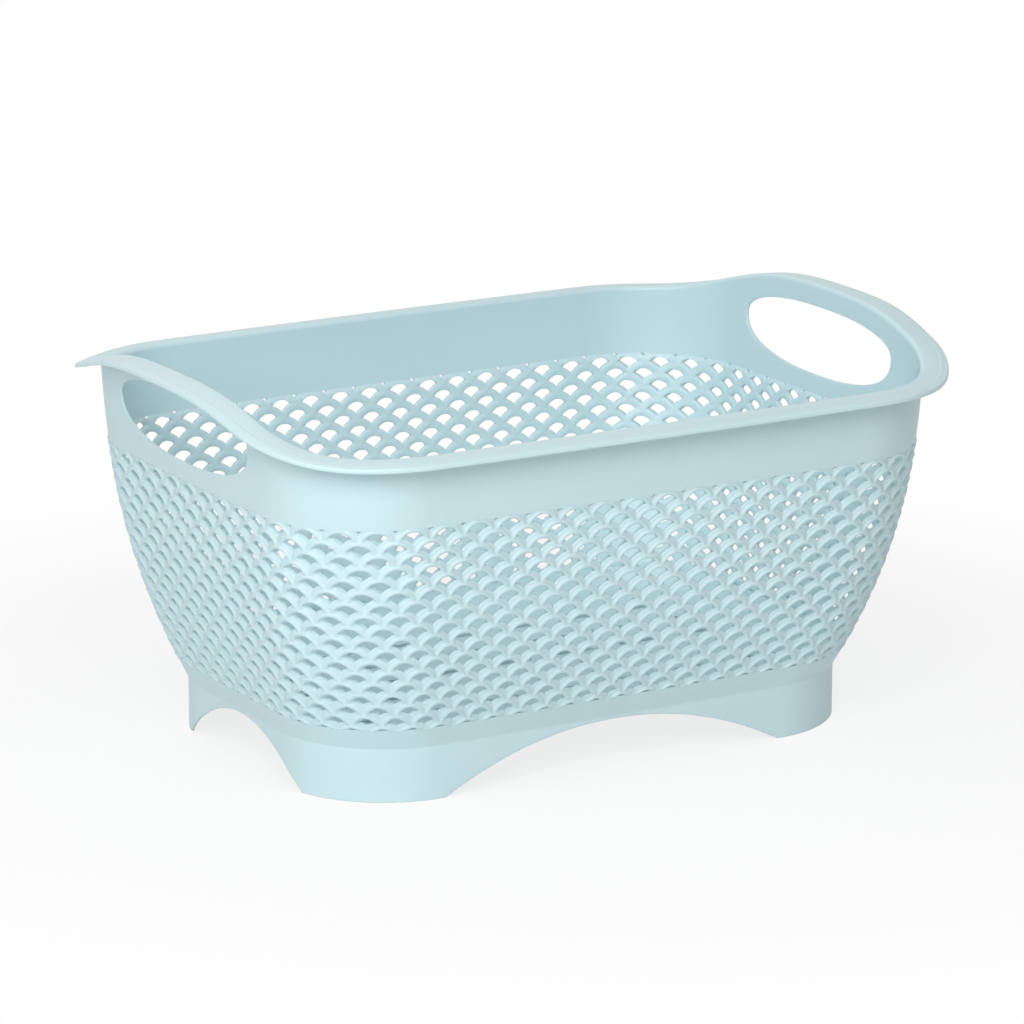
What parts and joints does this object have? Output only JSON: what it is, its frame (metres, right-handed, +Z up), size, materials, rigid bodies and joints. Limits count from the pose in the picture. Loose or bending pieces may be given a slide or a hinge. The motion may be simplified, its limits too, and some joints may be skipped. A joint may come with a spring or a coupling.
{
  "type": "laundry basket",
  "caption": "Rectangular moulded plastic laundry basket with a flared fish-scale lattice wall, a smooth collar with wide hand holes, a wavy rim and an arched foot ring.",
  "frame": {"origin": "on the ground, under the middle of the basket", "axes": "+X along the long sides towards one hand hole, +Y towards the back long side, +Z up"},
  "size_m": [0.6018, 0.4472, 0.3061],
  "materials": {
    "rim_plastic": "satin, pale aqua",
    "wall_plastic": "satin, pale aqua",
    "lattice_plastic": "satin, pale aqua",
    "base_plastic": "satin, pale aqua"
  },
  "bodies": {
    "root": {"rim_front": "rim_plastic", "rim_back": "rim_plastic", "grip_left": "rim_plastic", "grip_right": "rim_plastic", "collar": "wall_plastic", "lattice_front": "lattice_plastic", "lattice_back": "lattice_plastic", "lattice_left": "lattice_plastic", "lattice_right": "lattice_plastic", "base_band": "base_plastic", "floor_panel": "base_plastic", "foot_front_left": "base_plastic", "foot_front_right": "base_plastic", "foot_back_left": "base_plastic", "foot_back_right": "base_plastic"}
  },
  "joints": []
}
